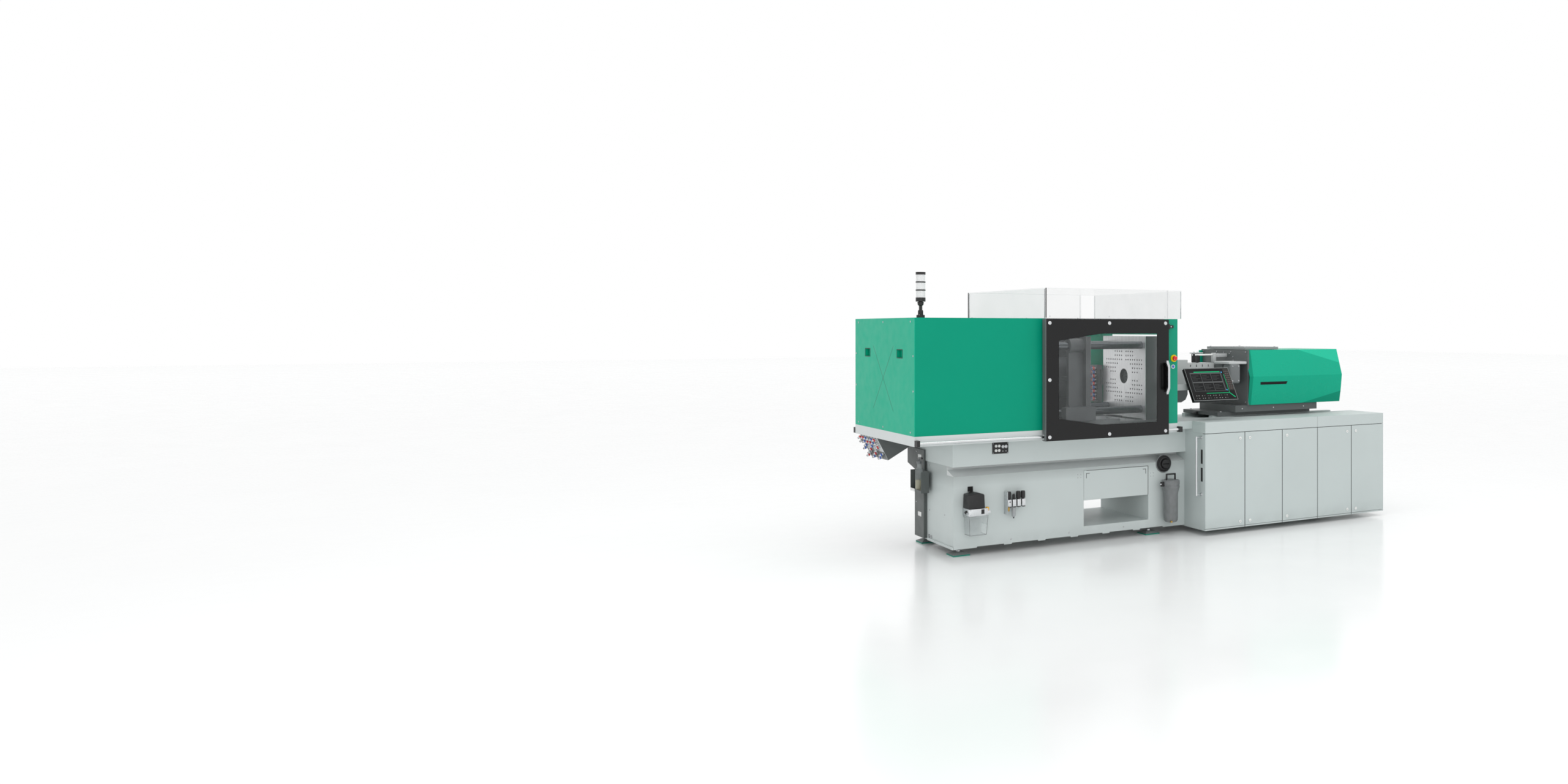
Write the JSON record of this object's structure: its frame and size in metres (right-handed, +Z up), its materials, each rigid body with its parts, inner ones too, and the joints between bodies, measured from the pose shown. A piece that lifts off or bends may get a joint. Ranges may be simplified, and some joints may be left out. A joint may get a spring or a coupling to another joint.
{
  "type": "injection moulding machine",
  "caption": "Horizontal injection moulding machine: platens on tie bars behind sliding safety doors, with a sliding injection unit above control cabinets.",
  "frame": {"origin": "on the floor under the middle of the machine's length, on the vertical plane of the clamping axis", "axes": "+Z up from the floor, +X along the clamping axis from the clamp unit towards the injection unit, -Y towards the operator's side"},
  "size_m": [4.5206, 1.472, 2.112],
  "materials": {
    "green_paint": "satin powder coat",
    "grey_paint": "fine-texture powder coat",
    "silver_paint": "satin",
    "dark_grey": "matt powder coat",
    "light_panel": "satin",
    "black_sheet": "satin",
    "black_plastic": "matt",
    "clear_pane": "clear polycarbonate",
    "clear_lens": "clear",
    "clear_tank": "clear plastic",
    "bright_steel": "hard chromed",
    "machined_steel": "milled",
    "cast_grey": "painted casting",
    "plain_steel": "turned",
    "handle_metal": "satin",
    "zinc": "sheet",
    "pad_rubber": "green damping pad",
    "red_plastic": "gloss",
    "blue_plastic": "gloss",
    "coupling_metal": "nickel plated",
    "grey_plastic": "satin"
  },
  "bodies": {
    "machine": {"base_frame": "grey_paint", "levelling_feet": "dark_grey", "foot_pads": "pad_rubber", "bed_tray": "grey_paint", "end_column": "dark_grey", "oil_bottle": "clear_tank", "clamp_bed": "cast_grey", "cover_frame": "silver_paint", "clamp_cover": "green_paint", "end_panel": "green_paint", "post_panels": "green_paint", "top_rails": "dark_grey", "door_rails": "bright_steel", "fixed_platen": "machined_steel", "tie_bars": "bright_steel", "parts_tunnel": "grey_paint", "cylinder_platen": "cast_grey", "clamp_cylinder": "plain_steel", "parts_chute": "zinc", "water_manifold": "coupling_metal", "top_guard": "clear_pane", "signal_tower": "black_plastic", "signal_lenses": "clear_lens", "connection_box": "dark_grey", "connection_couplings": "coupling_metal", "lubrication_pump": "black_plastic", "lubrication_tank": "clear_tank", "air_service_unit": "handle_metal", "return_filter": "grey_plastic", "injection_base": "grey_paint", "cabinet_shell": "grey_paint", "cabinet_bar": "handle_metal", "hydraulic_pump": "dark_grey", "nozzle_guard": "light_panel"},
    "safety_door": {"safety_door_frame": "black_sheet", "safety_door_panes": "clear_pane", "safety_door_handle": "handle_metal"},
    "rear_door": {"rear_door_frame": "black_sheet", "rear_door_panes": "clear_pane"},
    "moving_platen_body": {"moving_platen": "cast_grey", "clamp_piston": "bright_steel"},
    "ejector": {"ejector_rod": "plain_steel"},
    "flap": {"chute_flap": "grey_paint"},
    "carriage": {"injection_carriage": "dark_grey", "barrel": "plain_steel", "injection_cover": "green_paint", "barrel_guard": "light_panel", "feed_plate": "dark_grey"},
    "injection_drive": {"injection_piston": "bright_steel"},
    "screw": {"plasticising_screw": "plain_steel"},
    "panel_arm": {"control_arm": "light_panel"},
    "panel": {"control_panel": "black_plastic"},
    "estop": {"estop_button": "red_plastic"},
    "start": {"start_button": "blue_plastic"},
    "cap": {"filler_cap": "black_plastic"},
    "cabinet_door_1": {"cabinet_door_1": "grey_paint"},
    "cabinet_door_2": {"cabinet_door_2": "grey_paint"},
    "cabinet_door_3": {"cabinet_door_3": "grey_paint"},
    "cabinet_door_4": {"cabinet_door_4": "grey_paint"},
    "cabinet_door_5": {"cabinet_door_5": "grey_paint"}
  },
  "joints": [
    {"name": "safety_door_slide", "type": "slide", "parent": "machine", "child": "safety_door", "axis": [1, 0, 0], "range_m": [-0.98, 0]},
    {"name": "rear_door_slide", "type": "slide", "parent": "machine", "child": "rear_door", "axis": [1, 0, 0], "range_m": [-0.98, 0]},
    {"name": "clamp_stroke", "type": "slide", "parent": "machine", "child": "moving_platen_body", "axis": [1, 0, 0], "range_m": [-0.225, 0.273]},
    {"name": "ejector_stroke", "type": "slide", "parent": "moving_platen_body", "child": "ejector", "axis": [1, 0, 0], "range_m": [0, 0.15]},
    {"name": "flap_hinge", "type": "hinge", "parent": "machine", "child": "flap", "pos_m": [-0.418, -0.365, 0.573], "axis": [1, 0, 0], "range_deg": [-100, 0]},
    {"name": "carriage_slide", "type": "slide", "parent": "machine", "child": "carriage", "axis": [1, 0, 0], "range_m": [0, 0.25]},
    {"name": "injection_stroke", "type": "slide", "parent": "carriage", "child": "injection_drive", "axis": [1, 0, 0], "range_m": [0, 0.16]},
    {"name": "screw_turn", "type": "hinge", "parent": "injection_drive", "child": "screw", "pos_m": [0.743, 0, 1.303], "axis": [1, 0, 0], "continuous": true},
    {"name": "arm_swivel", "type": "hinge", "parent": "machine", "child": "panel_arm", "pos_m": [0.053, -0.405, 1.215], "axis": [0, 0, 1], "range_deg": [-35, 0]},
    {"name": "panel_tilt", "type": "hinge", "parent": "panel_arm", "child": "panel", "pos_m": [0.493, -0.405, 1.215], "axis": [1, 0, 0], "range_deg": [-15, 15]},
    {"name": "estop_press", "type": "slide", "parent": "machine", "child": "estop", "axis": [0, 1, 0], "range_m": [0, 0.005], "stiffness_N_per_m": 2500},
    {"name": "start_press", "type": "slide", "parent": "machine", "child": "start", "axis": [0, 1, 0], "range_m": [0, 0.003], "stiffness_N_per_m": 1500},
    {"name": "cap_turn", "type": "hinge", "parent": "machine", "child": "cap", "pos_m": [0.04, -0.365, 0.584], "axis": [0, -1, 0], "range_deg": [-90, 0]},
    {"name": "cabinet_door_1_hinge", "type": "hinge", "parent": "machine", "child": "cabinet_door_1", "pos_m": [0.252, -0.664, 0.45], "axis": [0, 0, 1], "range_deg": [-110, 0]},
    {"name": "cabinet_door_2_hinge", "type": "hinge", "parent": "machine", "child": "cabinet_door_2", "pos_m": [1.0655, -0.664, 0.45], "axis": [0, 0, 1], "range_deg": [0, 110]},
    {"name": "cabinet_door_3_hinge", "type": "hinge", "parent": "machine", "child": "cabinet_door_3", "pos_m": [1.4645, -0.664, 0.45], "axis": [0, 0, 1], "range_deg": [0, 90]},
    {"name": "cabinet_door_4_hinge", "type": "hinge", "parent": "machine", "child": "cabinet_door_4", "pos_m": [1.4675, -0.664, 0.45], "axis": [0, 0, 1], "range_deg": [-90, 0]},
    {"name": "cabinet_door_5_hinge", "type": "hinge", "parent": "machine", "child": "cabinet_door_5", "pos_m": [2.257, -0.664, 0.45], "axis": [0, 0, 1], "range_deg": [0, 110]}
  ]
}
